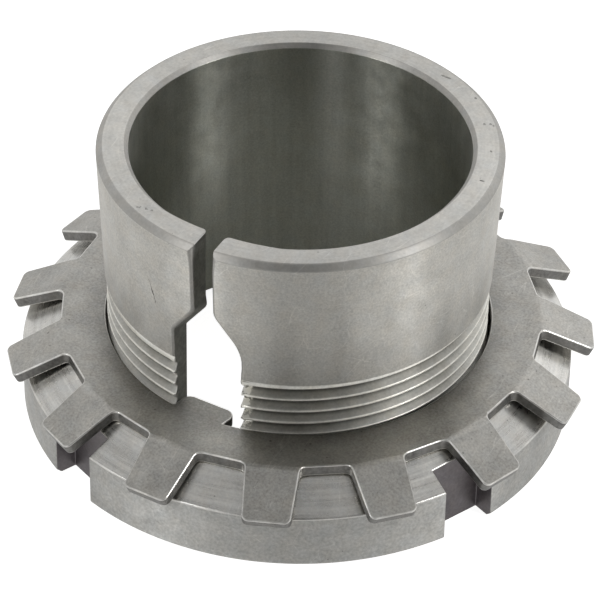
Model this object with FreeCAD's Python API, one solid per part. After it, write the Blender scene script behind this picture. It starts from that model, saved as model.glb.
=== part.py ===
import FreeCAD, Part
import math
import os

# Bearing adapter sleeve for a 35 mm shaft, as it is supplied: a split sleeve with a tapered outside,
# a ring nut on its thread, and a tab washer between them whose tang runs in the sleeve's slot.
# Millimetres, +Z up. The origin is on the bore's axis, in the plane of the nut's lower face, on which
# the set stands. The sleeve's slot faces -Y and its wide end is up.

# Sleeve
bore_diameter = 35.0
sleeve_length = 31.0
wide_end_diameter = 41.64      # across the taper's wide end, just under the rim's outer chamfer
taper = 1 / 12                 # change of diameter for each unit of length
thread_diameter = 40.0         # over the crests
thread_length = 15.6           # from the lower end to the foot of the taper
thread_pitch = 1.5
thread_depth = 0.92
top_groove_fall = 1.3          # from the foot of the taper down to the middle of the highest groove
drawn_grooves = 4              # the turns that show above the washer, drawn as plain rings
lead_in = 0.8                  # chamfer at the thread's lower end
rim_chamfer = 0.58             # outside of the wide end
bore_chamfer = 0.45            # inside of both ends

# Slot through the sleeve's wall: a saw slit above, a keyway below, and two sloping shoulders between
slit_width = 2.3
slit_length = 8.3              # from the rim down to the shoulders, on the outside
slot_width = 7.5
shoulder_angle = 38.0          # of the shoulders from the sleeve's axis
shoulder_lean = 23.0           # fall of the shoulders towards the bore, left by the round cutter
slit_round = 1.6               # where the slit opens out
slot_round_left = 0.5          # where the shoulder meets the slot's wall, on the -X side
slot_round_right = 4.0         # the same on the +X side

# Ring nut
nut_diameter = 58.0
nut_width = 9.0
nut_face_diameter = 49.4       # flat face under the washer, inside the cone
nut_cone_angle = 30.0          # of the cone from that face
nut_edge_chamfer = 0.6         # outer edge of the lower face
nut_bore_chamfer = 0.7
nut_overhang = 0.9             # how far the nut stands out below the sleeve's lower end
spanner_slots = 4
spanner_slot_width = 6.0
spanner_slot_depth = 2.5
nut_turn = 64.9                # a spanner slot's place at rest, in degrees from -Y towards +X

# Tab washer
washer_thickness = 1.25
washer_root_radius = 25.3      # axis to the inner corners of the gaps between tabs
washer_bend_distance = 25.1    # axis to the straight line where a tab starts to bend
washer_over_tabs = 62.0
tab_count = 15
tab_root_width = 5.6
tab_tip_width = 4.9
tab_angle = 25.0               # how far the tabs are bent down
tab_inner_bend = 1.0           # radius of the bend on the nut's side
gap_round = 0.8
tab_round = 0.7
tang_width = 6.0
tang_length = 2.5              # from the washer's bore towards the axis
tang_round = 1.1
washer_turn = -2.8             # the tang hangs against one wall of the slot, in degrees about +Z
washer_shift = 0.35            # the washer hangs this far off the axis, within its play on the thread
washer_shift_turn = 117.0      # which way, in degrees from -Y towards +X

# Clearances, on the radius
thread_clearance = 0.05        # nut on sleeve
washer_clearance = 0.5         # washer on sleeve

# Places that follow from the sizes above
bore_radius = bore_diameter / 2
thread_radius = thread_diameter / 2
wide_end_radius = wide_end_diameter / 2
nut_radius = nut_diameter / 2
sleeve_foot = nut_overhang
sleeve_top = sleeve_foot + sleeve_length
taper_foot = sleeve_foot + thread_length
cone_top = sleeve_top - rim_chamfer
cone_foot_radius = wide_end_radius - taper / 2 * (cone_top - taper_foot)
washer_bore_radius = thread_radius + washer_clearance
beyond = 5.0                   # how far a cutting tool runs past what it cuts


def vec(x, y, z):
    return FreeCAD.Vector(x, y, z)


def polar(radius, degrees):
    """Point on a circle in the plane z = 0. The angle starts at -Y and grows towards +X."""
    angle = math.radians(degrees)
    return vec(radius * math.sin(angle), -radius * math.cos(angle), 0)


def closed_outline(corners):
    """Flat closed wire from (corner, radius) pairs. Each corner is an arc tangent to its two sides."""
    starts, arcs, ends = [], [], []
    count = len(corners)
    for i, (corner, radius) in enumerate(corners):
        to_last = (corners[i - 1][0] - corner).normalize()
        to_next = (corners[(i + 1) % count][0] - corner).normalize()
        half = to_last.getAngle(to_next) / 2
        reach = radius / math.tan(half)
        starts.append(corner + to_last * reach)
        ends.append(corner + to_next * reach)
        middle = corner + (to_last + to_next).normalize() * (radius / math.sin(half) - radius)
        arcs.append(Part.Arc(starts[i], middle, ends[i]) if radius > 0 else None)
    edges = []
    for i in range(count):
        if arcs[i]:
            edges.append(arcs[i].toShape())
        edges.append(Part.LineSegment(ends[i], starts[(i + 1) % count]).toShape())
    return Part.Wire(edges)


def turned(points):
    """Solid of revolution about Z from (radius, height) points of its half section."""
    section = Part.makePolygon([vec(r, 0, z) for r, z in points + points[:1]])
    return Part.Face(section).revolve(vec(0, 0, 0), vec(0, 0, 1), 360)


def slot_tool():
    """Cutter for the slit and the keyway, with both shoulders falling towards the bore."""
    slit = slit_width / 2
    slot = slot_width / 2
    slit_foot = sleeve_top - slit_length
    slot_head = slit_foot - (slot - slit) / math.tan(math.radians(shoulder_angle))
    top = sleeve_top + bore_radius
    low = sleeve_foot - beyond
    corners = [
        (vec(-slit, 0, top), 0),
        (vec(-slit, 0, slit_foot), slit_round),
        (vec(-slot, 0, slot_head), slot_round_left),
        (vec(-slot, 0, low), 0),
        (vec(slot, 0, low), 0),
        (vec(slot, 0, slot_head), slot_round_right),
        (vec(slit, 0, slit_foot), slit_round),
        (vec(slit, 0, top), 0),
    ]
    # The outline holds true at the taper's surface. The tool starts outside it and ends in the bore.
    fall = math.tan(math.radians(shoulder_lean))
    outline = closed_outline(corners)
    outline.translate(vec(0, -cone_foot_radius - beyond, beyond * fall))
    depth = beyond + bore_radius
    return Part.Face(outline).extrude(vec(0, depth, -depth * fall))


def thread_rings():
    """Section points of the thread's turns that show above the washer, from the lowest up."""
    points = []
    for k in reversed(range(drawn_grooves)):
        middle = taper_foot - top_groove_fall - k * thread_pitch
        points += [(thread_radius, middle - thread_pitch / 2), (thread_radius - thread_depth, middle)]
    return points + [(thread_radius, taper_foot - top_groove_fall + thread_pitch / 2)]


def make_sleeve():
    body = turned([
        (bore_radius + bore_chamfer, sleeve_foot),
        (thread_radius - lead_in, sleeve_foot),
        (thread_radius, sleeve_foot + lead_in),
        *thread_rings(),
        (thread_radius, taper_foot - (cone_foot_radius - thread_radius)),
        (cone_foot_radius, taper_foot),
        (wide_end_radius, cone_top),
        (wide_end_radius - rim_chamfer, sleeve_top),
        (bore_radius + bore_chamfer, sleeve_top),
        (bore_radius, sleeve_top - bore_chamfer),
        (bore_radius, sleeve_foot + bore_chamfer),
    ])
    return body.cut(slot_tool())


def make_nut():
    thread_bore = thread_radius + thread_clearance
    face_radius = nut_face_diameter / 2
    cone_fall = (nut_radius - face_radius) * math.tan(math.radians(nut_cone_angle))
    nut = turned([
        (thread_bore + nut_bore_chamfer, 0),
        (nut_radius - nut_edge_chamfer, 0),
        (nut_radius, nut_edge_chamfer),
        (nut_radius, nut_width - cone_fall),
        (face_radius, nut_width),
        (thread_bore + nut_bore_chamfer, nut_width),
        (thread_bore, nut_width - nut_bore_chamfer),
        (thread_bore, nut_bore_chamfer),
    ])
    floor = nut_radius - spanner_slot_depth
    for k in range(spanner_slots):
        corner = vec(-spanner_slot_width / 2, -nut_radius - beyond, -beyond)
        tool = Part.makeBox(spanner_slot_width, nut_radius + beyond - floor, nut_width + 2 * beyond, corner)
        tool.rotate(vec(0, 0, 0), vec(0, 0, 1), nut_turn + 360 / spanner_slots * k)
        nut = nut.cut(tool)
    return nut


def tab_section():
    """Section through the middle of a tab: flat, then bent down, with its end square to the sheet."""
    low = nut_width
    high = nut_width + washer_thickness
    inside = washer_bore_radius - beyond
    tilt = math.radians(tab_angle)
    down = vec(math.cos(tilt), 0, -math.sin(tilt))
    out = vec(math.sin(tilt), 0, math.cos(tilt))
    centre = vec(washer_bend_distance, 0, low - tab_inner_bend)
    outer_bend = tab_inner_bend + washer_thickness

    def on_bend(radius, share):
        angle = tilt * share
        return centre + vec(math.sin(angle), 0, math.cos(angle)) * radius

    inner_end = centre + out * tab_inner_bend
    outer_end = centre + out * outer_bend
    length = (washer_over_tabs / 2 - outer_end.x) / down.x
    points = [vec(inside, 0, low), on_bend(tab_inner_bend, 0), inner_end, inner_end + down * length,
              outer_end + down * length, outer_end, on_bend(outer_bend, 0), vec(inside, 0, high)]
    lines = [Part.LineSegment(points[a], points[(a + 1) % len(points)]).toShape() for a in (0, 2, 3, 4, 6, 7)]
    lower_bend = Part.Arc(points[1], on_bend(tab_inner_bend, 0.5), points[2]).toShape()
    upper_bend = Part.Arc(points[5], on_bend(outer_bend, 0.5), points[6]).toShape()
    order = [lines[0], lower_bend, lines[1], lines[2], lines[3], upper_bend, lines[4], lines[5]]
    return Part.Face(Part.Wire(order))


def sector_outline():
    """One tab from above, with its share of the ring: the tab narrows outwards, its root is rounded."""
    past_tip = washer_over_tabs / 2 + beyond
    root_half = math.degrees(math.asin(tab_root_width / 2 / washer_root_radius))
    root = washer_root_radius * math.cos(math.radians(root_half))
    narrowing = (tab_root_width - tab_tip_width) / 2 / (washer_over_tabs / 2 - root)
    tip_half = tab_root_width / 2 - narrowing * (past_tip - root)
    sector_half = 180 / tab_count
    gap_middle = washer_root_radius * math.cos(math.radians(sector_half - root_half))
    return closed_outline([
        (vec(0, 0, 0), 0),
        (polar(gap_middle, -sector_half), 0),
        (polar(washer_root_radius, -root_half), gap_round),
        (vec(-tip_half, -past_tip, 0), 0),
        (vec(tip_half, -past_tip, 0), 0),
        (polar(washer_root_radius, root_half), gap_round),
        (polar(gap_middle, sector_half), 0),
    ])


def tip_edges(shape):
    """The two short edges at the corners of a tab's end that run through the sheet."""
    found = []
    for edge in shape.Edges:
        first, last = [vertex.Point for vertex in edge.Vertexes]
        through = abs(first.distanceToPoint(last) - washer_thickness) < washer_thickness / 20
        if through and -(first + last).y / 2 > washer_over_tabs / 2 - washer_thickness:
            found.append(edge)
    return found


def make_sector():
    """One tab with its share of the flat ring, cut out of a sheet that is bent along a straight line."""
    width = washer_over_tabs
    sheet = tab_section().extrude(vec(0, width, 0))
    sheet.translate(vec(0, -width / 2, 0))
    sheet.rotate(vec(0, 0, 0), vec(0, 0, 1), -90)
    outline = Part.Face(sector_outline())
    sector = sheet.common(outline.extrude(vec(0, 0, nut_width + beyond)))
    sector = sector.makeFillet(tab_round, tip_edges(sector))
    bore = Part.makeCylinder(washer_bore_radius, nut_width + beyond)
    return sector.cut(bore)


def make_washer():
    sector = make_sector()
    sectors = []
    for k in range(tab_count):
        turned_sector = sector.copy()
        turned_sector.rotate(vec(0, 0, 0), vec(0, 0, 1), 360 / tab_count * k)
        sectors.append(turned_sector)
    half = tang_width / 2
    tip = -(washer_bore_radius - tang_length)
    root = -(washer_bore_radius + tang_length / 2)
    tang = Part.Face(closed_outline([
        (vec(-half, root, nut_width), 0),
        (vec(half, root, nut_width), 0),
        (vec(half, tip, nut_width), tang_round),
        (vec(-half, tip, nut_width), tang_round),
    ])).extrude(vec(0, 0, washer_thickness))
    washer = sectors[0].multiFuse(sectors[1:] + [tang]).removeSplitter()
    washer.rotate(vec(0, 0, 0), vec(0, 0, 1), washer_turn)
    washer.translate(polar(washer_shift, washer_shift_turn))
    return washer


os.makedirs("parts", exist_ok=True)
pieces = {"adapter_sleeve": make_sleeve(), "lock_washer": make_washer(), "lock_nut": make_nut()}
for name, shape in pieces.items():
    solid = shape.Solids[0]
    print(name, "solids", len(shape.Solids), "valid", solid.isValid(), "mm3", round(solid.Volume, 1))
    solid.exportStep("parts/" + name + ".step")
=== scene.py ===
# %% [markdown]
# # A bearing adapter sleeve, its tab washer and its ring nut
# The set is three pieces of plain steel: a split sleeve turned on a lathe, a washer punched from sheet
# with its tabs bent down, and a turned nut with four spanner slots. This lesson turns the sleeve and
# the nut anew, welds a copy of the washer's mesh, rounds the edges of all three, cuts the screw thread,
# and gives each surface the finish that its making leaves on it. The solids come in first, and nothing
# moves them afterwards. Their box is kept, because the dressed set has to stay inside it.

# %% Load the solids
import math

import bpy
from mathutils import Matrix, Vector, noise as smooth_noise


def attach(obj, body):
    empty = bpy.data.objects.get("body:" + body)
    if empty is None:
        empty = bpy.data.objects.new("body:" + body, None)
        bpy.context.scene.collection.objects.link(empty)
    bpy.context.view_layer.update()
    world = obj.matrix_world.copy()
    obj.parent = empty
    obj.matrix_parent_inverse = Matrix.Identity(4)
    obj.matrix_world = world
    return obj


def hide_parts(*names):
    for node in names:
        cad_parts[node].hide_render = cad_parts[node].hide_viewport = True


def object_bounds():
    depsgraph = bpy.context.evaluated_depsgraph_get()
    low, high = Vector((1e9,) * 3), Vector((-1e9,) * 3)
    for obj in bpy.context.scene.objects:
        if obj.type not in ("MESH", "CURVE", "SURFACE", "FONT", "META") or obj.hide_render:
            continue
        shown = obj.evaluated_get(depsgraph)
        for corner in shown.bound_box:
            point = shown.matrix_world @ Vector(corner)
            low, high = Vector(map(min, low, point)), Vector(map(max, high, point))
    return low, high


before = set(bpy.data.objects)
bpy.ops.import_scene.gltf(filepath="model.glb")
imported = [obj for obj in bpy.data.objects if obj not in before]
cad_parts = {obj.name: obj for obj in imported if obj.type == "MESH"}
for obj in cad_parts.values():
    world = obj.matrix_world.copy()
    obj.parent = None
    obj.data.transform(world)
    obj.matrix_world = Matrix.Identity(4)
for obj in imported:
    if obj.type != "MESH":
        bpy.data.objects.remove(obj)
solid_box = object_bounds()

mm = 0.001
print("box in mm", [[round(c / mm, 2) for c in corner] for corner in solid_box])

# %% [markdown]
# ## The camera
# The sleeve was photographed from a little above and from its right, with a long lens, so the back of
# its round rim is hardly smaller than the front. A long lens is made here by a camera far away with a
# large focal length. It stands on a line from the middle of the set, given by its turn round the axis
# and its height in degrees.

# %% Place the camera
view_turn = 27.0
view_height = 38.27
view_distance = 376 * mm
view_roll = 1.08
focal_length = 214.9           # millimetres, on a sensor 36 mm wide
look_at = Vector((0.196, 0.100, 11.48)) * mm


def pointing(turn_angle, height_angle):
    """The direction from the set that has this turn round the axis and this height, in degrees."""
    a, e = math.radians(turn_angle), math.radians(height_angle)
    return Vector((math.sin(a) * math.cos(e), -math.cos(a) * math.cos(e), math.sin(e)))


towards_camera = pointing(view_turn, view_height)
bpy.ops.object.camera_add(location=look_at + towards_camera * view_distance)
camera = bpy.context.object
camera.name = "camera"
level = (-towards_camera).to_track_quat("-Z", "Y").to_matrix()
camera.rotation_euler = (level @ Matrix.Rotation(math.radians(view_roll), 3, "Z")).to_euler()
camera.data.lens = focal_length
camera.data.sensor_width = 36.0
camera.data.clip_start = 10 * mm
bpy.context.scene.camera = camera
print("camera at, in mm", [round(c / mm, 1) for c in camera.location])

# %% [markdown]
# ## Helpers for materials
# A material is a tree of shader nodes. Made in code, each node takes several lines, so a few helpers
# make a node, set it and link it in one. The finishes can then be read as sums and products.

# %% Make and link shader nodes
def set_inputs(tree, node, inputs):
    """Sets inputs of a node, each given as a value or as a socket to link."""
    for key, value in inputs.items():
        if isinstance(value, bpy.types.NodeSocket):
            tree.links.new(value, node.inputs[key])
        else:
            node.inputs[key].default_value = value


def add_node(tree, kind, inputs=None, **settings):
    """Makes a shader node and gives its outputs."""
    node = tree.nodes.new(kind)
    for name, value in settings.items():
        setattr(node, name, value)
    set_inputs(tree, node, inputs or {})
    return node.outputs


def maths(tree, operation, *values):
    """The output of a Math node."""
    return add_node(tree, "ShaderNodeMath", dict(enumerate(values)), operation=operation)[0]


def plus(tree, total, *others):
    """The sum of two or more numbers."""
    for other in others:
        total = maths(tree, "ADD", total, other)
    return total


def times(tree, first, second):
    """The product of two numbers."""
    return maths(tree, "MULTIPLY", first, second)


def vector_maths(tree, operation, *values):
    """The output of a Vector Math node: a number for a dot product or a length, else a vector."""
    made = add_node(tree, "ShaderNodeVectorMath", dict(enumerate(values)), operation=operation)
    return made["Value" if operation in ("DOT_PRODUCT", "LENGTH") else "Vector"]


def ramp(tree, value, start, end, low, high):
    """A number that goes softly from low to high while value goes from start to end."""
    inputs = {"Value": value, "From Min": start, "From Max": end, "To Min": low, "To Max": high}
    return add_node(tree, "ShaderNodeMapRange", inputs, interpolation_type="SMOOTHSTEP")["Result"]


def blend(tree, factor, first, second):
    """The output of a Mix node for numbers."""
    return add_node(tree, "ShaderNodeMix", {"Factor": factor, "A": first, "B": second})["Result"]


def new_look(name):
    """A new material, its tree of nodes and its shader."""
    look = bpy.data.materials.new(name)
    look.use_nodes = True
    return look, look.node_tree, look.node_tree.nodes["Principled BSDF"]


def seen_directly(tree):
    """Light Path's outputs, and 1 for a ray from the camera or through glass."""
    path = add_node(tree, "ShaderNodeLightPath")
    return path, maths(tree, "MAXIMUM", path["Is Camera Ray"], path["Is Transmission Ray"])


# %% [markdown]
# ## The paper table
# The set stands on white paper, and the sleeve's wall leans back a little, so most of the wall mirrors
# the paper. To the camera the paper is white, and the part of its brightness that comes from the lamps
# lets the shadow under the nut stay. In reflections it is dimmer, most of all in front, where the
# photographer stands in the light, and inside the bore, where no light gets in. Light Path tells the
# material which kind of ray is asking.

# %% Make the paper table
paper_colour = (0.80, 0.80, 0.79, 1.0)
paper_glow = 0.88              # to the camera, on top of the lamps' light
paper_sides = 0.37             # mirrored, beside and behind the set
paper_front = 0.15             # mirrored, on the photographer's side
paper_inside = 0.03            # mirrored, the share left inside the bore
paper_size = 3.0
ring_inside = 19 * mm

bpy.ops.mesh.primitive_plane_add(size=paper_size, location=(0, 0, solid_box[0].z))
paper = bpy.context.object
paper.name = "paper"
paper_look, tree, shader = new_look("white_paper")
place = add_node(tree, "ShaderNodeTexCoord")["Object"]
towards_viewer = Vector((towards_camera.x, towards_camera.y, 0)).normalized()
nearer = vector_maths(tree, "DOT_PRODUCT", place, towards_viewer)
mirrored = ramp(tree, nearer, 18 * mm, 60 * mm, paper_sides, paper_front)
from_axis = vector_maths(tree, "LENGTH", place)
outside = ramp(tree, from_axis, ring_inside, ring_inside + 6 * mm, paper_inside, 1)
path, direct = seen_directly(tree)
mirrored = times(tree, path["Is Glossy Ray"], times(tree, mirrored, outside))
set_inputs(tree, shader, {
    "Base Color": paper_colour, "Roughness": 0.9, "Specular IOR Level": 0.0,
    "Emission Color": (1, 1, 1, 1), "Emission Strength": blend(tree, direct, mirrored, paper_glow),
})
paper.data.materials.append(paper_look)
print("paper", paper_size, "m wide at height", round(paper.location.z / mm, 2), "mm")

# %% [markdown]
# ## The tent
# A product like this is shot in a tent of thin cloth, and the rim and the washer mirror the tent behind
# the set. The world stands for the tent: bright low down all round and at the back, greyer in the roof,
# brightest in a window behind on the right, and dark where the photographer looks in. Each of these is
# a soft round patch: how much a direction agrees with the patch's middle says how much of it counts.

# %% Paint the tent
tent_light = 0.30              # what falls on the paper
tent_horizon = 0.92            # mirrored, low all round
tent_roof = 0.47               # mirrored, above
tent_back = 0.86               # mirrored, behind the set
tent_window = 0.45             # more of it, behind on the right
tent_opening = 0.12            # share that is left where the photographer looks in
opening_size = (0.86, 0.985)

world = bpy.data.worlds.new("tent")
bpy.context.scene.world = world
world.use_nodes = True
tree = world.node_tree
direction = add_node(tree, "ShaderNodeTexCoord")["Generated"]


def patch(turn_angle, height_angle, size, outside, inside):
    """A soft round patch of the tent, whose size is the cosines at its edge and at its core."""
    agreement = vector_maths(tree, "DOT_PRODUCT", direction, pointing(turn_angle, height_angle))
    return ramp(tree, agreement, *size, outside, inside)


upright = vector_maths(tree, "DOT_PRODUCT", direction, (0, 0, 1))
shade = maths(tree, "MAXIMUM", ramp(tree, upright, 0.22, 0.55, tent_horizon, tent_roof),
              patch(view_turn + 180, 30, (0.38, 0.84), tent_roof, tent_back))
shade = plus(tree, shade, patch(view_turn + 143, 30, (0.88, 0.98), 0.0, tent_window))
shade = times(tree, shade, patch(view_turn, 52, opening_size, 1.0, tent_opening))
shade = times(tree, shade, patch(view_turn, 20, opening_size, 1.0, 2 * tent_opening))
path, direct = seen_directly(tree)
strength = blend(tree, direct, blend(tree, path["Is Glossy Ray"], tent_light, shade), 1.0)
set_inputs(tree, tree.nodes["Background"], {"Color": (1, 1, 1, 1), "Strength": strength})
bpy.context.scene.view_settings.view_transform = "Standard"
print("tent of", len(tree.nodes), "nodes")

# %% [markdown]
# ## Two low lamps
# The light that shapes the steel comes from two soft lamps, one on each side and both low. The fine
# rings of turned steel spread a lamp's reflection upright, and with a low lamp that makes the soft
# upright streaks on the wall and in the bore.

# %% Set up the lamps
lamp_height = 32               # degrees
lamp_distance = 0.6
lamp_size = 0.16


def lamp(name, turn_angle, watts):
    """A square soft lamp that faces the middle of the set."""
    place = look_at + lamp_distance * pointing(turn_angle, lamp_height)
    bpy.ops.object.light_add(type="AREA", location=place)
    made = bpy.context.object
    made.name = name
    made.data.size = lamp_size
    made.data.energy = watts
    made.rotation_euler = (look_at - place).to_track_quat("-Z", "Y").to_euler()
    print(name, "at, in mm", [round(c / mm) for c in place])


lamp("left_lamp", view_turn - 54, 0.73)
lamp("right_lamp", view_turn + 63, 0.84)

# %% [markdown]
# ## How the pieces are made
# The sleeve and the nut are lathe work, so they are made as on a lathe: a flat outline of half their
# section is spun round the axis, and tools are then cut out of the blank. The washer is punched and
# bent, which the solid already shows, so its mesh is taken from there.

# %% Select, apply modifiers and cut
def select_only(piece):
    """Deselects everything and makes one piece the active one."""
    bpy.ops.object.select_all(action="DESELECT")
    piece.select_set(True)
    bpy.context.view_layer.objects.active = piece


def edit(piece):
    """Opens a piece in edit mode with all of it selected."""
    select_only(piece)
    bpy.ops.object.mode_set(mode="EDIT")
    bpy.ops.mesh.select_mode(type="VERT")
    bpy.ops.mesh.select_all(action="SELECT")


def leave():
    """Leaves edit mode."""
    bpy.ops.object.mode_set(mode="OBJECT")


def apply_modifier(piece, kind, **settings):
    """Adds a modifier, sets it and applies it."""
    select_only(piece)
    bpy.ops.object.modifier_add(type=kind)
    modifier = piece.modifiers[-1]
    for name, value in settings.items():
        setattr(modifier, name, value)
    bpy.ops.object.modifier_apply(modifier=modifier.name)


def use_up(piece, tool):
    """Cuts a tool out of a piece and deletes the tool. What it cuts gets the tool's material."""
    apply_modifier(piece, "BOOLEAN", object=tool, operation="DIFFERENCE", solver="EXACT",
                   material_mode="TRANSFER")
    bpy.data.objects.remove(tool)
    print(piece.name, "is cut, now", len(piece.data.polygons), "faces")


# %% Spin a blank, and close a tool
turn_steps = 180
weld = 0.001 * mm              # points nearer than this are one point


def turned(name, section):
    """A turned blank from the (radius, height) corners of half its section."""
    bpy.ops.mesh.primitive_circle_add(vertices=len(section), radius=1 * mm)
    blank = bpy.context.object
    blank.name = name
    for corner, (radius, height) in zip(blank.data.vertices, section):
        corner.co = (radius, 0, height)
    edit(blank)
    bpy.ops.mesh.spin(steps=turn_steps, angle=2 * math.pi, center=(0, 0, 0), axis=(0, 0, 1))
    bpy.ops.mesh.select_all(action="SELECT")
    bpy.ops.mesh.remove_doubles(threshold=weld)
    bpy.ops.mesh.normals_make_consistent(inside=False)
    leave()
    print(name, "has", len(blank.data.polygons), "faces")
    return blank


def close_up(tool):
    """Welds a tool, closes its open ends and turns its faces outwards."""
    edit(tool)
    bpy.ops.mesh.remove_doubles(threshold=weld)
    bpy.ops.mesh.fill_holes(sides=0)
    bpy.ops.mesh.select_all(action="SELECT")
    bpy.ops.mesh.normals_make_consistent(inside=False)
    leave()
    print(tool.name, "has", len(tool.data.polygons), "faces")


# %% [markdown]
# ## The finishes of the steel
# Each surface keeps the marks of the tool that made it, and all of it has been handled. These marks are
# shader node groups, built once, and each material places them with its own values. They are measured
# in millimetres of the real surface, so they have the right size everywhere.
#
# The first group is the rings left by a lathe or a grinding wheel. Along a ring its noise hardly
# changes, and across the rings it changes every Spacing millimetres, on a cylinder, a cone or a flat
# face alike.

# %% Make the group of lathe marks
def start_group(name, inputs, outputs):
    """A shader node group with number inputs and outputs, what goes in and its last node."""
    group = bpy.data.node_groups.new(name, "ShaderNodeTree")
    for label, value in inputs.items():
        socket = group.interface.new_socket(name=label, in_out="INPUT", socket_type="NodeSocketFloat")
        socket.default_value = value
    for label in outputs:
        group.interface.new_socket(name=label, in_out="OUTPUT", socket_type="NodeSocketFloat")
    return group, group.nodes.new("NodeGroupInput").outputs, group.nodes.new("NodeGroupOutput")


def in_millimetres(tree):
    """The place on the piece, in millimetres."""
    return stretched(tree, add_node(tree, "ShaderNodeTexCoord")["Object"], 1000, 1000, 1000)


def stretched(tree, place, x, y, z):
    """A place scaled along each axis."""
    return vector_maths(tree, "MULTIPLY", place, (x, y, z))


def noise(tree, place, scale, detail=2.0, roughness=0.5):
    """Soft noise round 0.5."""
    inputs = {"Vector": place, "Scale": scale, "Detail": detail, "Roughness": roughness}
    return add_node(tree, "ShaderNodeTexNoise", inputs)["Fac"]


lathe_marks, given, result = start_group("lathe_marks", {"Spacing": 0.3}, ["Rings"])
tree = lathe_marks
place = in_millimetres(tree)
level = stretched(tree, place, 1, 1, 0)
around = stretched(tree, vector_maths(tree, "NORMALIZE", level), 1.5, 1.5, 0)
upright = vector_maths(tree, "DOT_PRODUCT", place, (0, 0, 1))
across = plus(tree, vector_maths(tree, "LENGTH", level), upright)
steps = maths(tree, "DIVIDE", across, given["Spacing"])
by_steps = add_node(tree, "ShaderNodeCombineXYZ", {"Z": steps})["Vector"]
rings_place = vector_maths(tree, "ADD", around, by_steps)
set_inputs(tree, result, {"Rings": noise(tree, rings_place, 1.0, 3.0, 0.6)})
print("group", tree.name, "has", len(tree.nodes), "nodes")

# %% [markdown]
# ## Grain and clouds
# Steel is never one even grey. The second group has a fine grain, larger clouds where the surface is a
# little brighter or duller, and a slow change of tint between warm and cold.

# %% Make the group of grain and clouds
steel_grain, given, result = start_group("steel_grain", {"Grain": 0.25, "Clouds": 4.0},
                                         ["Grain", "Clouds", "Tint"])
tree = steel_grain
place = in_millimetres(tree)
elsewhere = vector_maths(tree, "ADD", place, (70, 20, 40))
set_inputs(tree, result, {
    "Grain": noise(tree, place, maths(tree, "DIVIDE", 1.0, given["Grain"]), 2.0, 0.6),
    "Clouds": noise(tree, place, maths(tree, "DIVIDE", 1.0, given["Clouds"]), 3.0, 0.55),
    "Tint": noise(tree, elsewhere, 0.6, 2.0),
})
print("group", tree.name, "has", len(tree.nodes), "nodes")

# %% [markdown]
# ## Scratches and pits
# The last group is wear. Scratches are the thin walls between very long cells, kept only where a slow
# noise is high, so that they come in short stretches. Pits are the middles of a few small cells.

# %% Make the group of wear
wear_marks, given, result = start_group("wear_marks", {"Amount": 0.5}, ["Scratches", "Pits"])
tree = wear_marks
place = in_millimetres(tree)
waves = add_node(tree, "ShaderNodeTexNoise", {"Vector": place, "Scale": 0.15, "Detail": 1.0})["Color"]
bent = vector_maths(tree, "ADD", place, stretched(tree, waves, 2.5, 2.5, 2.5))
slanted = add_node(tree, "ShaderNodeMapping", {
    "Vector": bent, "Rotation": (0.5, 0.9, 0.35), "Scale": (0.55, 0.05, 0.30)})["Vector"]
walls = add_node(tree, "ShaderNodeTexVoronoi", {"Vector": slanted, "Scale": 1.0, "Randomness": 1.0},
                 feature="DISTANCE_TO_EDGE")["Distance"]
where = plus(tree, noise(tree, place, 0.35, 1.0), times(tree, given["Amount"], 0.1))
scratches = times(tree, ramp(tree, walls, 0, 0.016, 1, 0), ramp(tree, where, 0.58, 0.70, 0, 1))
cells = add_node(tree, "ShaderNodeTexVoronoi", {"Vector": place, "Scale": 0.8, "Randomness": 1.0},
                 feature="F1")
lot = add_node(tree, "ShaderNodeSeparateColor", {"Color": cells["Color"]})["Red"]
size = times(tree, times(tree, ramp(tree, lot, 0.70, 1.0, 0.0, 1.0), given["Amount"]), 0.15)
set_inputs(tree, result, {"Scratches": scratches,
                          "Pits": maths(tree, "LESS_THAN", cells["Distance"], size)})
print("group", tree.name, "has", len(tree.nodes), "nodes")

# %% [markdown]
# ## One recipe for every steel surface
# All the finishes are the same steel, marked in different strengths, so one function makes them all.
# The patterns change the tone, the gloss and, through a bump, the relief. The shader's own anisotropy
# stands for the finest rings, which spread the light upright on a turned surface.

# %% Write the recipe for steel
pit_tone = 0.35
scratch_tone = 0.35
pit_depth = 6.0                # thousandths of a millimetre
scratch_depth = 3.0
brightest = 1.6                # the tone stays under this
warm_to_cold = (0.03, 0.0, -0.04)


def place_group(tree, group, **values):
    """A node group placed in a material, with its own values."""
    return add_node(tree, "ShaderNodeGroup", values, node_tree=group)


def swing(tree, value, amount):
    """Turns noise round 0.5 into a change round 0."""
    return times(tree, maths(tree, "SUBTRACT", value, 0.5), 2 * amount)


def scaled(tree, vector, factor):
    """A vector or colour times a number that changes over the surface."""
    inputs = {"Vector": vector, "Scale": factor}
    return add_node(tree, "ShaderNodeVectorMath", inputs, operation="SCALE")["Vector"]


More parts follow.
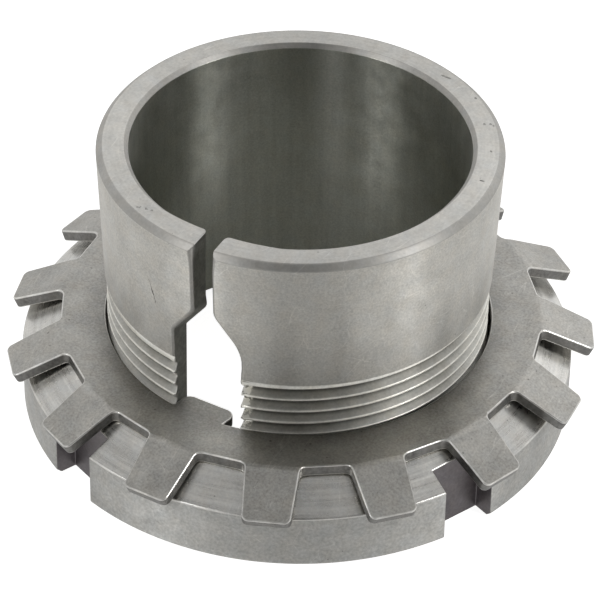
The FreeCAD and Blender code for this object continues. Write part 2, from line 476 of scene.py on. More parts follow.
def steel(name, colour, roughness, rings=0.0, spacing=0.3, grain=0.10, grain_size=0.30, clouds=0.10,
          cloud_size=4.0, marks=0.3, relief=1.0, grain_relief=1.0, brushed=0.0, shaping=None):
    """Bare steel.

    rings, grain and clouds say how strongly each pattern changes the tone. relief and grain_relief are
    the depths of the rings and the grain, in thousandths of a millimetre. brushed says how much more
    the fine rings round the axis spread the light across them than along them. shaping is a function
    that changes the tone by the place on the piece.
    """
    look, tree, shader = new_look(name)
    lathe = place_group(tree, lathe_marks, Spacing=spacing)["Rings"]
    grains = place_group(tree, steel_grain, Grain=grain_size, Clouds=cloud_size)
    wear = place_group(tree, wear_marks, Amount=marks)
    tone = plus(tree, 1.0, swing(tree, lathe, rings), swing(tree, grains["Grain"], grain),
                swing(tree, grains["Clouds"], clouds),
                times(tree, wear["Scratches"], scratch_tone * marks),
                times(tree, wear["Pits"], -pit_tone))
    if shaping:
        tone = shaping(tree, in_millimetres(tree), tone)
    tone = maths(tree, "MINIMUM", tone, brightest)
    tint = scaled(tree, warm_to_cold, swing(tree, grains["Tint"], 1.0))
    hue = vector_maths(tree, "MULTIPLY", vector_maths(tree, "ADD", tint, (1, 1, 1)), colour)
    rough = plus(tree, roughness, swing(tree, grains["Clouds"], 0.06), swing(tree, lathe, 0.25 * rings))
    height = plus(tree, times(tree, lathe, relief), times(tree, grains["Grain"], grain_relief),
                  times(tree, wear["Scratches"], -scratch_depth * marks),
                  times(tree, wear["Pits"], -pit_depth))
    bump = add_node(tree, "ShaderNodeBump", {"Height": height, "Distance": 0.001 * mm, "Strength": 1.0})
    set_inputs(tree, shader, {"Metallic": 1.0, "Base Color": scaled(tree, hue, tone),
                              "Roughness": rough, "Normal": bump["Normal"]})
    if brushed:
        set_inputs(tree, shader, {"Anisotropic": brushed, "Anisotropic Rotation": 0.25})
    print("steel", name, "has", len(tree.nodes), "nodes")
    return look


def finish(piece, looks, look_of):
    """Gives a piece its materials, and each of its faces the one that look_of names for it."""
    for look in looks:
        piece.data.materials.append(look)
    for face in piece.data.polygons:
        face.material_index = looks.index(look_of(face))


# %% [markdown]
# ## Rounding the edges
# No edge of real steel is perfectly sharp. Even a small rounding catches the light, and it is what
# makes an edge show as a bright line. A bevel rounds every edge where two faces meet at a clear angle.

# %% Round the edges of a piece
edge_angle = math.radians(28)


def round_edges(piece, width, material=-1):
    """Rounds the sharp edges of a piece."""
    edit(piece)
    bpy.ops.mesh.remove_doubles(threshold=2 * weld)
    bpy.ops.mesh.dissolve_degenerate(threshold=weld)
    leave()
    apply_modifier(piece, "BEVEL", width=width, segments=3, limit_method="ANGLE",
                   angle_limit=edge_angle, use_clamp_overlap=False, harden_normals=False,
                   miter_outer="MITER_SHARP", material=material)
    print(piece.name, "is rounded, now", len(piece.data.polygons), "faces")


# %% [markdown]
# ## Shading flat facets as round surfaces
# The mesh of a turned piece has flat facets, and mirrored light shows every one of them. So the shading
# is told which way the true surface faces. A turned facet faces straight away from the axis or towards
# it, and at each of its corners the true surface faces the same way, swung round the axis to that
# corner. Flat faces, such as the walls of a slot, keep their own direction. Where faces meet at less
# than the edge angle, their directions are mixed by area.

# %% Shade a turned piece
def shade_turned(piece, flat_radius=0.0):
    """Shades a turned piece as round. The faces of a floor at flat_radius stay flat."""
    mesh = piece.data
    select_only(piece)
    bpy.ops.object.shade_smooth()
    turn_of = [math.atan2(point.co.y, point.co.x) for point in mesh.vertices]
    faces_at = [[] for point in mesh.vertices]
    known = []
    for face in mesh.polygons:
        normal, centre = face.normal, face.center
        level = normal.xy.length
        swung = math.atan2(normal.y, normal.x) - math.atan2(centre.y, centre.x)
        off = abs((swung + math.pi / 2) % math.pi - math.pi / 2)
        on_floor = abs(centre.xy.length - flat_radius) <= 0.2 * mm
        round_face = level > 0.001 and off < math.radians(3) and not on_floor
        outwards = math.copysign(level, normal.xy.dot(centre.xy))
        known.append((round_face, outwards, normal.copy(), face.area))
        for corner in face.vertices:
            faces_at[corner].append(face.index)

    def normal_at(face, corner):
        round_face, outwards, normal, area = known[face]
        if not round_face:
            return normal
        turn = turn_of[corner]
        return Vector((outwards * math.cos(turn), outwards * math.sin(turn), normal.z))

    limit = math.cos(edge_angle)
    normals = [None] * len(mesh.loops)
    for face in mesh.polygons:
        for loop, corner in zip(face.loop_indices, face.vertices):
            own = normal_at(face.index, corner)
            total = Vector((0, 0, 0))
            for other in faces_at[corner]:
                theirs = normal_at(other, corner)
                if own.dot(theirs) > limit:
                    total += theirs * known[other][3]
            normals[loop] = total.normalized() if total.length > 0 else own
    mesh.normals_split_custom_set(normals)
    print(piece.name, "is shaded,", len(mesh.polygons), "faces")


# %% [markdown]
# ## The tool for the thread
# The thread is metric with a pitch of 1.5 mm, and its groove is a 60 degree V with a rounded root. A
# circle of three points is already such a V. One of them is rounded, and the Screw modifier winds the
# outline round the axis. At its upper end the cutter was drawn out of the work, so there the groove
# gets shallow. The same tool, turned to point outwards, cuts the nut.

# %% Wind a thread's tool
pitch = 1.5 * mm


def wound_thread(name, tip_radius, side, tip_round, top, top_turn, turns, outwards=False,
                 draw_out=0.0, draw_turn=40):
    """A closed bar of V section, wound right-handed, with its top end at top and top_turn."""
    polar = math.radians(top_turn - 90)
    reach = side / math.sqrt(3) * (-1 if outwards else 1)
    middle = tip_radius + reach
    foot = top - turns * pitch
    place = (middle * math.cos(polar), middle * math.sin(polar), foot)
    points_to = polar + (math.pi if outwards else 0)
    bpy.ops.mesh.primitive_circle_add(vertices=3, radius=abs(reach), fill_type="NGON", location=place,
                                      rotation=(0, math.pi / 2, math.pi / 2 + points_to))
    bar = bpy.context.object
    bar.name = name
    bpy.ops.object.transform_apply()
    edit(bar)
    bpy.ops.mesh.select_all(action="DESELECT")
    leave()
    choose = max if outwards else min
    tip = choose(bar.data.vertices, key=lambda v: v.co.xy.length)
    tip.select = True
    bpy.ops.object.mode_set(mode="EDIT")
    bpy.ops.mesh.bevel(offset=tip_round * math.sqrt(3), offset_type="ABSOLUTE", segments=5,
                       affect="VERTICES")
    bpy.ops.mesh.select_all(action="SELECT")
    bpy.ops.mesh.delete(type="ONLY_FACE")
    leave()
    corners = len(bar.data.vertices)
    apply_modifier(bar, "SCREW", angle=2 * math.pi, screw_offset=pitch, iterations=turns,
                   steps=turn_steps, render_steps=turn_steps, use_normal_calculate=False)
    steps = len(bar.data.vertices) // corners - 1
    drawn = draw_turn / 360 * turn_steps
    for point in bar.data.vertices:
        share = max(0.0, (point.index // corners - (steps - drawn)) / drawn)
        point.co.xy *= 1 + draw_out * share ** 2 / point.co.xy.length
    close_up(bar)
    return bar


# %% [markdown]
# ## The sleeve's blank
# The outline goes round half the wall: the lower face, the thread's cylinder, a small relief, the
# taper, the rim with its softened chamfer, and the bore. The thread's first crest slopes a little
# towards the relief, and that slope is the bright line under the taper.

# %% Turn the sleeve's blank
bore_radius = 17.5 * mm
thread_radius = 20.0 * mm
sleeve_foot = 0.9 * mm
sleeve_top = 31.9 * mm
taper_foot = 16.5 * mm
cone_foot_radius = 20.2025 * mm
wide_end_radius = 20.82 * mm
rim_chamfer = ((0, 0.66), (0.04, 0.55), (0.11, 0.45), (0.45, 0.11), (0.55, 0.04), (0.66, 0))
bore_chamfer = 0.45 * mm
lead_in = 0.8 * mm
relief_radius = 19.90 * mm
relief_height = 16.30 * mm
first_crest = 16.06 * mm

sleeve = turned("threaded_sleeve", [
    (bore_radius + bore_chamfer, sleeve_foot),
    (thread_radius - lead_in, sleeve_foot),
    (thread_radius, sleeve_foot + lead_in),
    (thread_radius, first_crest),
    (relief_radius, relief_height),
    (cone_foot_radius, taper_foot),
    *((wide_end_radius - inwards * mm, sleeve_top - down * mm) for inwards, down in rim_chamfer),
    (bore_radius + bore_chamfer, sleeve_top),
    (bore_radius, sleeve_top - bore_chamfer),
    (bore_radius, sleeve_foot + bore_chamfer),
])

# %% [markdown]
# ## The bore's chamfer beside the slit
# A slit sleeve springs a little when it is chamfered, so beside its slit the bore's chamfer is
# narrower than elsewhere. The blank is not slit yet, so the chamfer's two rings of points are drawn
# together there.

# %% Make the bore's chamfer narrower beside the slit
chamfer_lost = 0.38 * mm
chamfer_run_out = math.radians(22)

for point in sleeve.data.vertices:
    height, radius = point.co.z, point.co.xy.length
    from_slit = abs(math.atan2(point.co.x, -point.co.y)) / chamfer_run_out
    if from_slit < 1 and height > sleeve_top - 0.6 * mm and radius < bore_radius + 0.5 * mm:
        less = chamfer_lost * (1 - from_slit ** 2)
        if height > sleeve_top - 0.1 * mm:
            point.co.xy -= point.co.xy.normalized() * less
        else:
            point.co.z += less
print("chamfer beside the slit", round((bore_chamfer - chamfer_lost) / mm, 2), "mm")

# %% [markdown]
# ## The sleeve's finishes
# The taper and the bore are ground and honed, so their marks are fine and spread the light most. The
# ends, the chamfers and the thread are turned more coarsely. The wall has smudges of old oil, the bore
# has upright streaks from a gauge, and the thread has painted shade in its roots, a painted highlight
# on its crests, and brighter patches at its burrs.

# %% Say how the tone changes over the wall, the bore and the thread
def height_of(tree, place):
    """The height of a place above the nut's foot."""
    return vector_maths(tree, "DOT_PRODUCT", place, (0, 0, 1))


def wall_tone(tree, place, tone):
    """Soft upright smudges, and a tone that gets a little darker towards the thread."""
    smudges = noise(tree, stretched(tree, place, 0.30, 0.30, 0.07), 1.0, 2.0)
    height = plus(tree, height_of(tree, place), swing(tree, smudges, 2.5))
    tone = times(tree, tone, ramp(tree, height, 16.5, 25.0, 0.78, 1.0))
    return plus(tree, tone, swing(tree, smudges, 0.10))


def bore_tone(tree, place, tone):
    """Upright streaks, left where a plug gauge went in and out, and a darker film next to the rim."""
    streaks = noise(tree, stretched(tree, place, 1.1, 1.1, 0.06), 1.0, 3.0, 0.6)
    tone = plus(tree, tone, swing(tree, streaks, 0.20))
    return times(tree, tone, ramp(tree, height_of(tree, place), 20.0, 31.0, 1.05, 0.82))


def thread_tone(tree, place, tone):
    """Painted shade in the roots, a painted highlight on the crests, brighter patches on the burrs at
    the slot.
    """
    radius = vector_maths(tree, "LENGTH", stretched(tree, place, 1, 1, 0))
    # Painted shade: darker in the roots.
    tone = times(tree, tone, ramp(tree, radius, 19.10, 19.50, 0.40, 0.86))
    # Painted highlight: brighter on the crests.
    tone = times(tree, tone, ramp(tree, radius, 19.86, 19.98, 1.0, 1.75))
    from_slot_wall = vector_maths(tree, "SUBTRACT", place, (4.0, 0, 0))
    beside = maths(tree, "ABSOLUTE", vector_maths(tree, "DOT_PRODUCT", from_slot_wall, (1, 0, 0)))
    in_front = vector_maths(tree, "DOT_PRODUCT", place, (0, -1, 0))
    burr = times(tree, ramp(tree, beside, 0.35, 0.75, 1.0, 0.0), ramp(tree, in_front, 0, 1, 0, 1))
    patches = ramp(tree, noise(tree, place, 2.6, 2.0), 0.40, 0.56, 0.10, 1.5)
    return plus(tree, tone, times(tree, burr, patches))


# %% Give each turned surface its own finish
turned_ends = steel(
    "turned_ends", (0.56, 0.55, 0.52), 0.38, rings=0.14, spacing=0.35, grain=0.20, clouds=0.20,
    cloud_size=2.0, marks=0.6, relief=1.2, grain_relief=1.6, brushed=0.8)
ground_taper = steel(
    "ground_taper", (0.60, 0.585, 0.545), 0.39, rings=0.06, spacing=0.4, grain=0.34, grain_size=0.22,
    clouds=0.18, cloud_size=2.6, marks=0.6, relief=0.6, grain_relief=1.2, brushed=0.95,
    shaping=wall_tone)
bored_inside = steel(
    "bored_inside", (0.50, 0.505, 0.455), 0.31, rings=0.04, spacing=0.5, grain=0.32, grain_size=0.20,
    cloud_size=2.2, relief=0.3, grain_relief=0.8, brushed=0.95, shaping=bore_tone)
cut_thread = steel(
    "cut_thread", (0.54, 0.53, 0.49), 0.40, rings=0.16, spacing=0.20, grain=0.22, clouds=0.26,
    cloud_size=1.6, grain_relief=2.2, brushed=0.6, shaping=thread_tone)
turned_chamfers = steel(
    "turned_chamfers", (0.46, 0.45, 0.425), 0.52, rings=0.16, spacing=0.25, grain=0.16, clouds=0.20,
    cloud_size=2.0, marks=0.5, grain_relief=1.5, brushed=0.75)


def sleeve_look(face):
    """The finish of a face of the blank, by its place and by how far it leans."""
    radius, height, lean = face.center.xy.length, face.center.z, abs(face.normal.z)
    if radius < bore_radius + 0.01 * mm:
        return bored_inside
    if lean < 0.2 and height > taper_foot:
        return ground_taper
    if height < taper_foot and radius > thread_radius - lead_in:
        return cut_thread
    return turned_chamfers if 0.2 < lean < 0.95 else turned_ends


finish(sleeve, (turned_ends, ground_taper, bored_inside, cut_thread, turned_chamfers), sleeve_look)

# %% [markdown]
# ## The slot
# A saw slit comes down from the rim and opens into a keyway, with a sloping shoulder on each side, and
# the two shoulders are not rounded alike. The slot's edges were broken by hand, and that rounding
# follows the round wall. So the cutting tool will be a sheet of squares rolled into a tube, and each
# row of its corners is the slot's outline at one depth. The outline comes first: points along it that
# are never far apart.

# %% Work out the slot's outline
slit_left = 1.15 * mm
slit_right = 0.96 * mm
slot_half = 3.75 * mm
slit_foot = sleeve_top - 8.3 * mm
slope = math.tan(math.radians(38))
slot_head = slit_foot - (slot_half - slit_left) / slope
slit_foot_right = slit_foot + (slit_left - slit_right) / slope
over = sleeve_top + 4 * mm
under = sleeve_foot - 4 * mm


def slot_outline(corners, longest):
    """Points and outward directions along a closed outline of (x, z, radius) corners."""
    points = []
    count = len(corners)
    for i in range(count):
        before, corner, following, beyond = (Vector(corners[(i + k) % count][:2]) for k in range(-1, 3))
        radius, next_radius = corners[i][2], corners[(i + 1) % count][2]
        last, ahead = (corner - before).normalized(), (following - corner).normalized()
        out_last, out_ahead = Vector((last.y, -last.x)), Vector((ahead.y, -ahead.x))
        directions = [(out_last + out_ahead).normalized()]
        if radius:
            directions = [out_last.slerp(out_ahead, k / 6) for k in range(7)]
        side = -1 if out_last.dot(ahead) < 0 else 1
        reach = radius * math.tan(abs(last.angle_signed(ahead)) / 2)
        centre = corner - last * reach + out_last * radius * side
        points += [(centre - direction * radius * side, direction) for direction in directions]
        start = points[-1][0]
        end = following - ahead * next_radius * math.tan(ahead.angle(beyond - following) / 2)
        pieces = max(1, math.ceil((end - start).length / longest))
        points += [(start.lerp(end, k / pieces), out_ahead) for k in range(1, pieces)]
    return points


outline = slot_outline([
    (-slit_left, over, 0), (-slit_left, slit_foot, 1.6 * mm), (-slot_half, slot_head, 0.5 * mm),
    (-slot_half, under, 0), (slot_half, under, 0), (slot_half, slot_head, 4.0 * mm),
    (slit_right, slit_foot_right, 1.6 * mm), (slit_right, over, 0),
], longest=0.9 * mm)
print("the slot's outline has", len(outline), "points")

# %% [markdown]
# ## How far the slot's edges are rounded
# Edges that are broken by hand are never even. In the photo they are worn most at the rim's corners
# and least in the thread, and the right shoulder has a small flat. The tool flares along a quarter of
# a circle at both surfaces of the wall, and the size of that flare is given here.

# %% Say how far each edge is rounded
edge_round = 0.38 * mm
thread_round = 0.22 * mm
corner_round_left = 0.85 * mm
corner_round_right = 0.80 * mm
corner_reach = 3.5 * mm        # how far below the rim its corners are worn
flat_round = 0.30 * mm
flat_height = 18.4 * mm
flat_reach = 1.2 * mm
slit_inside_round = 0.60 * mm
slot_inside_round = 0.15 * mm


def share_of_way(value, start, length):
    """0 before start, 1 a length after it, and evenly between."""
    return min(1.0, max(0.0, (value - start) / length))


def outside_rounding(x, height):
    """The rounding of the slot's outer edge."""
    near_rim = share_of_way(height, sleeve_top - corner_reach, corner_reach)
    in_thread = 1 - share_of_way(height, taper_foot - 1.0 * mm, 2.0 * mm)
    corner_round = corner_round_right if x > 0 else corner_round_left
    rounding = edge_round + (corner_round - edge_round) * near_rim ** 2
    rounding += (thread_round - edge_round) * in_thread
    if x > 0:
        rounding += flat_round * math.exp(-((height - flat_height) / flat_reach) ** 2)
    return rounding


def inside_rounding(height):
    """The rounding of its edge in the bore, larger in the slit than in the keyway."""
    in_slit = share_of_way(height, slit_foot, 1.5 * mm)
    return slot_inside_round + (slit_inside_round - slot_inside_round) * in_slit


def wall_radius(height):
    """The sleeve's outer radius at a height."""
    if height < taper_foot - 0.2 * mm:
        return thread_radius
    return cone_foot_radius + (height - taper_foot) / 24


print("rounded at the rim, in mm", [round(outside_rounding(x, sleeve_top) / mm, 2) for x in (-1, 1)])

# %% [markdown]
# ## Rolling the tool
# A grid has a column for each point of the outline and a row for each depth. Its corners are moved to
# their places, and the sheet's two sides are welded. The tool falls towards the bore, because the
# shoulders were milled at that slant. Outside, its flare gets the finish of the chamfers, and its
# walls get that of the cutter.

# %% Roll the slot's tool and cut the sleeve
milled_slot = steel(
    "milled_slot", (0.37, 0.365, 0.345), 0.45, grain=0.50, grain_size=0.35, clouds=0.50, cloud_size=1.3,
    grain_relief=3.0)
shoulder_fall = math.tan(math.radians(23))
slot_depth = 6.0 * mm
beyond_wall = 1.5 * mm

lip = 1.2                      # how far the flare goes on past the surface, as a share of the rounding
flare = [(1.0, 0.0)]           # depth and widening, as shares of it too
for angle in (15, 30, 45, 60, 72):
    a = math.radians(angle)
    flare.append((1 - math.sin(a), 1 - math.cos(a)))
flare.append((flare[-1][0] - lip * math.cos(a), flare[-1][1] + lip * math.sin(a)))
flare.append(flare[-1])
rows = [("inside", *share) for share in reversed(flare)]
first_outside = len(rows)
rows += [("outside", *share) for share in flare]
last_row = len(rows) - 1

columns = len(outline)
bpy.ops.mesh.primitive_grid_add(x_subdivisions=columns, y_subdivisions=last_row, size=2)
slot_tool = bpy.context.object
slot_tool.name = "slot_tool"
row_of = [round((point.co.y + 1) / 2 * last_row) for point in slot_tool.data.vertices]


def tool_look(face):
    """The chamfers' steel for the flare outside, and milled steel for the rest."""
    on_flare = min(row_of[corner] for corner in face.vertices) >= first_outside
    return turned_chamfers if on_flare else milled_slot


finish(slot_tool, (milled_slot, turned_chamfers), tool_look)
for point in slot_tool.data.vertices:
    corner, direction = outline[round((point.co.x + 1) / 2 * columns) % columns]
    row = row_of[point.index]
    side, deeper, wider = rows[row]
    outer = side == "outside"
    rounding = outside_rounding(corner.x, corner.y) if outer else inside_rounding(corner.y)
    depth = deeper * rounding
    if not outer:
        depth = wall_radius(corner.y) - bore_radius - depth
    if row == 0:
        depth = slot_depth
    elif row == last_row:
        depth -= beyond_wall
    x, z = corner + direction * (wider * rounding)
    y = -math.sqrt((wall_radius(z) - depth) ** 2 - x ** 2)
    point.co = (x, y, z - (y + cone_foot_radius) * shoulder_fall)
close_up(slot_tool)
use_up(sleeve, slot_tool)

# %% [markdown]
# ## Dents of handling
# The sleeve has knocked against other parts, which left small dents on the rim and one long scratch on
# the wall. Each is made as by the knock itself: a long pebble, sunk a little into the surface, is cut
# out of it.

# %% Press the dents into the rim and the wall
wall_lean = 92.4               # degrees that a pebble is tilted to lie against the leaning wall


def dent(turn_angle, radius, height, length, width, depth, lie, tilt=0):
    """A long pebble in the surface. lie turns it away from the ring round the axis, or from upright."""
    a = math.radians(turn_angle)
    flat = Matrix.Rotation(math.radians(lie if tilt else 90 + lie), 3, "Z")
    bpy.ops.mesh.primitive_ico_sphere_add(subdivisions=2, radius=1 * mm,
                                          location=(radius * math.cos(a), radius * math.sin(a), height))
    pebble = bpy.context.object
    leaning = Matrix.Rotation(math.radians(tilt), 3, "Y")
    pebble.rotation_euler = (Matrix.Rotation(a, 3, "Z") @ leaning @ flat).to_euler()
    pebble.scale = (length / 2, width / 2, depth)
    bpy.ops.object.transform_apply()
    return pebble


pebbles = [dent(turn, radius * mm, sleeve_top, *shape) for turn, radius, *shape in (
    (65.8, 19.25, 1.4, 0.28, 0.10, 17),
    (51.9, 19.80, 0.35, 0.28, 0.08, 0),
    (38.4, 19.10, 0.40, 0.26, 0.10, 10),
    (38.0, 19.70, 0.30, 0.26, 0.08, 60),
    (37.0, 19.95, 0.28, 0.20, 0.06, 0),
    (24.0, 19.30, 0.35, 0.20, 0.06, 40),
    (8.6, 19.20, 0.55, 0.22, 0.08, 80),
    (-117.1, 19.70, 0.50, 0.24, 0.06, 30),
    (-115.2, 19.20, 0.40, 0.30, 0.07, -20),
    (-113.6, 18.90, 0.30, 0.22, 0.06, 0),
)]
pebbles.append(dent(-108.2, 20.505 * mm, 23.8 * mm, 2.0, 0.06, 0.020, 20, tilt=wall_lean))
for pebble in pebbles:
    pebble.select_set(True)
bpy.context.view_layer.objects.active = pebbles[0]
bpy.ops.object.join()
pebbles[0].data.materials.append(milled_slot)
use_up(sleeve, pebbles[0])

# %% [markdown]
# ## The sleeve's thread
# The groove is cut after the slot, so its ends stand sharp at the slot's rounded edges. It has the
# depth and the rounded root of the standard thread, and it leaves narrow crests.

# %% Cut the sleeve's thread
sharp_tip = 18.863 * mm
root_round = 0.2165 * mm
groove_side = 0.985 * pitch
groove_at_zero = 12.0825 * mm  # middle of one turn of the groove, where the slot is
run_out_turn = 176.0 + 1       # half a facet off, so that the facets of blank and tool don't coincide
run_out_height = groove_at_zero + pitch * (2 + run_out_turn / 360)
groove_turns = 11
sleeve_edges = 0.06 * mm

groove = wound_thread("groove", sharp_tip, groove_side, root_round, run_out_height, run_out_turn,
                      groove_turns, draw_out=1.2 * mm, draw_turn=60)
groove.data.materials.append(cut_thread)
use_up(sleeve, groove)
round_edges(sleeve, sleeve_edges)

# %% [markdown]
# ## Torn ends of the thread
# The cutter that milled the keyway tore the ends of the turns, more on the right, where its teeth came
# out of the metal. So smooth noise shifts the points there, by the same amounts in every run. On the
# left the metal that was pushed into the grooves partly closes them. No point may end up above the
# rim.

# %% Tear the thread's ends
slot_edge = 4.0                # these five are in millimetres
torn_reach = 0.9
torn_top = 16.2
filled_radius = 19.75
root_radius = 18.8
filled_share = 0.65
torn_seed = 1                  # without a seed the noise starts from the clock and differs each run

smooth_noise.seed_set(torn_seed)
torn = 0
for point in sleeve.data.vertices:
    x, y, z = point.co / mm
    from_edge = abs(abs(x) - slot_edge)
    radius = math.hypot(x, y)
    if y < 0 and z < torn_top and from_edge < torn_reach and radius > root_radius:
        nearness = 1 - from_edge / torn_reach
        if x < 0 and radius < filled_radius:
            point.co.xy *= 1 + filled_share * nearness * (filled_radius - radius) / radius
        strength = (0.24 if x > 0 else 0.08) * mm * nearness
        point.co += smooth_noise.noise_vector(Vector((x, y, z)) * 2.3) * strength
        torn += 1
for point in sleeve.data.vertices:
    point.co.z = min(point.co.z, sleeve_top)
print("points of the thread's ends torn", torn)
shade_turned(sleeve)

# %% [markdown]
# ## The nut
# The nut is turned with a cone on top and a chamfer below, and four slots for a hook spanner are
# milled into its outside. Two of them show in the photo, a quarter turn apart, so one block is copied
# round in such steps. The foot of the cone is the edge that hands and spanners rub, and its brighter
# colour there is that wear and a painted highlight.

# %% Turn the nut and cut its slots
nut_radius = 29.0 * mm
nut_width = 9.0 * mm
nut_chamfer = 0.6 * mm
nut_face_radius = 24.7 * mm
cone_foot = nut_width - (nut_radius - nut_face_radius) * math.tan(math.radians(30))
nut_bore_radius = 19.19 * mm
nut_mouth = 20.75 * mm
nut_turn = 64.9
slot_floor = 26.5 * mm
spanner_slot = (6 * mm, 6 * mm, 14 * mm)
nut_edges = 0.14 * mm

nut = turned("slotted_nut", [
    (nut_mouth, 0),
    (nut_radius - nut_chamfer, 0),
    (nut_radius, nut_chamfer),
    (nut_radius, cone_foot),
    (nut_face_radius, nut_width),
    (nut_mouth, nut_width),
    (nut_bore_radius, nut_width - (nut_mouth - nut_bore_radius)),
    (nut_bore_radius, nut_mouth - nut_bore_radius),
])
turned_cone = steel(
    "turned_cone", (0.62, 0.61, 0.58), 0.29, rings=0.42, spacing=0.20, grain=0.20, grain_size=0.25,
    clouds=0.18, cloud_size=2.4, marks=0.5, relief=1.3, grain_relief=1.2)
satin_outside = steel(
    "satin_outside", (0.48, 0.475, 0.455), 0.42, rings=0.08, spacing=0.5, grain=0.38, clouds=0.26,
    cloud_size=2.6, marks=0.6, relief=0.6, grain_relief=1.3, brushed=0.9)
# Brighter steel for rounded edges: worn metal, and a painted highlight along them.
worn_and_highlit_edge = steel(
    "worn_and_highlit_edge", (0.64, 0.63, 0.60), 0.32, grain=0.22, grain_size=0.4, clouds=0.40, cloud_size=1.5,
    grain_relief=1.5)
milled_notch = steel(
    "milled_notch", (0.19, 0.175, 0.18), 0.42, grain=0.28, grain_size=0.35, clouds=0.24,
    cloud_size=1.6, marks=0.4, grain_relief=3.0)


def nut_look(face):
    """Satin outside and on the lower chamfer, and turned elsewhere."""
    outside = face.center.xy.length > nut_radius - 0.7 * mm and face.center.z < cone_foot
    return satin_outside if outside else turned_cone


finish(nut, (turned_cone, satin_outside, worn_and_highlit_edge), nut_look)
for k in range(4):
    a = math.radians(nut_turn + 90 * k - 90)
    middle = slot_floor + spanner_slot[0] / 2
    bpy.ops.mesh.primitive_cube_add(
        size=1, rotation=(0, 0, a), scale=spanner_slot,
        location=(middle * math.cos(a), middle * math.sin(a), nut_width / 2))
    cutter = bpy.context.object
    bpy.ops.object.transform_apply()
    cutter.data.materials.append(milled_notch)
    use_up(nut, cutter)
round_edges(nut, nut_edges)
# Round the foot of the cone the faces get the brighter edge steel: wear and a painted highlight.
worn_highlit_index = nut.data.materials.find(worn_and_highlit_edge.name)
for face in nut.data.polygons:
    if face.center.xy.length > nut_radius - 0.2 * mm and abs(face.center.z - cone_foot) < 0.16 * mm:
        face.material_index = worn_highlit_index

# %% [markdown]
# ## The nut's thread
# The nut's groove is the sleeve's turned inside out. It starts half a pitch higher, so that its crests
# stand in the sleeve's grooves, and a little play keeps the threads apart.

# %% Cut the nut's thread
thread_play = 0.04 * mm
outer_tip = sharp_tip + (pitch / 2 + thread_play) * math.sqrt(3)
outer_round = 0.10 * mm
inner_start = 18.96 * mm
nut_groove_side = (outer_tip - inner_start) * 2 / math.sqrt(3)
nut_groove_turn = 1.0          # half a facet off, as the sleeve's
nut_groove_top = groove_at_zero + pitch * (0.5 + nut_groove_turn / 360)
nut_groove_turns = 10

nut_groove = wound_thread("nut_groove", outer_tip, nut_groove_side, outer_round, nut_groove_top,
                          nut_groove_turn, nut_groove_turns, outwards=True)
nut_groove.data.materials.append(cut_thread)
use_up(nut, nut_groove)
shade_turned(nut, slot_floor)

# %% [markdown]
# ## The tab washer
# The washer is punched from sheet. Its tabs are bent down along straight lines, and its tang runs in
# the sleeve's keyway. The solid has all of that, but as a heap of loose triangles. So a copy is
# welded, and flat faces are joined into one each. On the real set the bore lies closer round the
# thread than the solid's, which keeps more room, so it is drawn in a little.

# %% Weld a copy of the washer and draw its bore in
hang_turn = math.radians(117)  # the washer hangs off the axis towards this turn
solid_bore, solid_hang = 20.5, 0.35
drawn_bore, drawn_hang = 20.25, 0.10

washer = bpy.data.objects.new("punched_washer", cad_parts["lock_washer"].data.copy())
bpy.context.scene.collection.objects.link(washer)
washer.data.name = washer.name
washer.data.materials.clear()
edit(washer)
bpy.ops.mesh.customdata_custom_splitnormals_clear()
bpy.ops.mesh.remove_doubles(threshold=2 * weld)
bpy.ops.mesh.dissolve_limited(angle_limit=math.radians(0.25))
leave()
away = Vector((math.sin(hang_turn), -math.cos(hang_turn)))
moved = 0
for point in washer.data.vertices:
    from_middle = point.co.xy - away * solid_hang * mm
    if abs(from_middle.length - solid_bore * mm) < 0.03 * mm:
        point.co.xy = away * drawn_hang * mm + from_middle.normalized() * drawn_bore * mm
        moved += 1
print("washer has", len(washer.data.polygons), "faces, points of its bore drawn in", moved)

# %% [markdown]
# ## Three tabs bent further
# Tabs bent in a press are never all alike. On the right of the photo three of them hang about three
# degrees lower, so past the bend their points go down in step with the distance from it.

# %% Bend the tabs on the right down a little
bend_radius = 25.2 * mm
extra_fall = 0.05

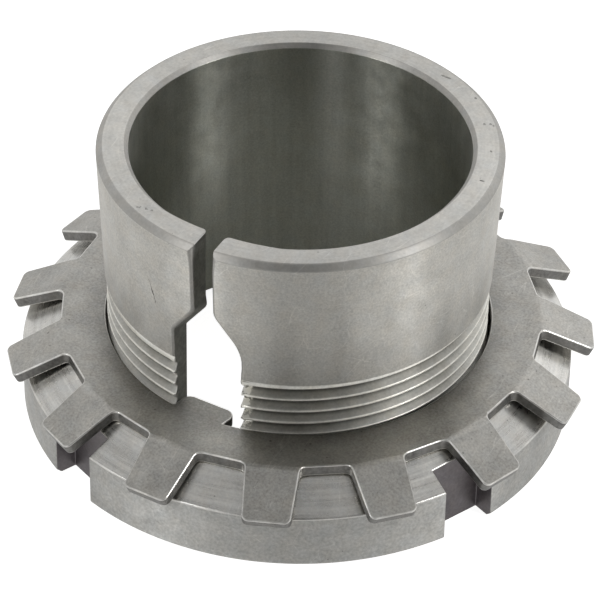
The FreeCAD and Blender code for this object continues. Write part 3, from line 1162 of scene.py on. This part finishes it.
bent_further = 0
for point in washer.data.vertices:
    beyond_bend = point.co.xy.length - bend_radius
    to_right = math.degrees(math.atan2(point.co.x, -point.co.y)) - view_turn
    if beyond_bend > 0 and 29.6 < to_right < 101.6:
        point.co.z -= extra_fall * beyond_bend
        bent_further += 1
print("points of the right tabs bent further", bent_further)

# %% [markdown]
# ## The washer's finish
# Sheet steel is matt, with a grain from rolling and more marks than the turned pieces. Next to the
# thread its colour is darkened, a painted shade. Punching leaves dark, coarse sides, and tumbling
# leaves rounded edges, so the bevel gets a material of its own, brighter for wear and for a painted
# highlight.

# %% Finish the washer and round its edges
washer_edges = 0.15 * mm


def painted_shade_near_thread(tree, place, tone):
    """Painted shade: the tone gets darker next to the thread, where the sleeve shades the washer."""
    radius = vector_maths(tree, "LENGTH", stretched(tree, place, 1, 1, 0))
    return times(tree, tone, ramp(tree, radius, 20.0, 23.5, 0.74, 1.0))


# Its shaping paints shade into the sheet next to the thread.
sheet_steel = steel(
    "sheet_steel", (0.40, 0.39, 0.365), 0.39, grain=0.44, grain_size=0.24, clouds=0.34, cloud_size=3.4,
    marks=0.8, grain_relief=3.0, shaping=painted_shade_near_thread)
punched_side = steel(
    "punched_side", (0.22, 0.215, 0.205), 0.40, grain=0.50, grain_size=0.35, clouds=0.40,
    cloud_size=1.5, marks=0.5, grain_relief=5.0)


def washer_look(face):
    """Sheet on the flat faces and dark steel on the punched sides."""
    return punched_side if abs(face.normal.z) < 0.6 else sheet_steel


finish(washer, (sheet_steel, worn_and_highlit_edge, punched_side), washer_look)
# The washer's bevel gets the brighter edge steel as well: wear and a painted highlight.
round_edges(washer, washer_edges, material=washer.data.materials.find(worn_and_highlit_edge.name))
select_only(washer)
bpy.ops.object.shade_smooth_by_angle(angle=edge_angle)
apply_modifier(washer, "WEIGHTED_NORMAL", mode="FACE_AREA", weight=100, keep_sharp=True)

# %% [markdown]
# ## Tie the pieces to their bodies
# Each dressed piece stands for one solid and moves with its body: the washer slides along the sleeve,
# and the nut turns on it.

# %% Tie each piece to its body
for piece, node, body, slot in (
    (sleeve, "adapter_sleeve", "sleeve", "sleeve_steel"),
    (washer, "lock_washer", "washer", "washer_steel"),
    (nut, "lock_nut", "nut", "nut_steel"),
):
    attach(piece, body)
    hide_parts(node)
    print(piece.name, "stands for", node, "and rides on", body)
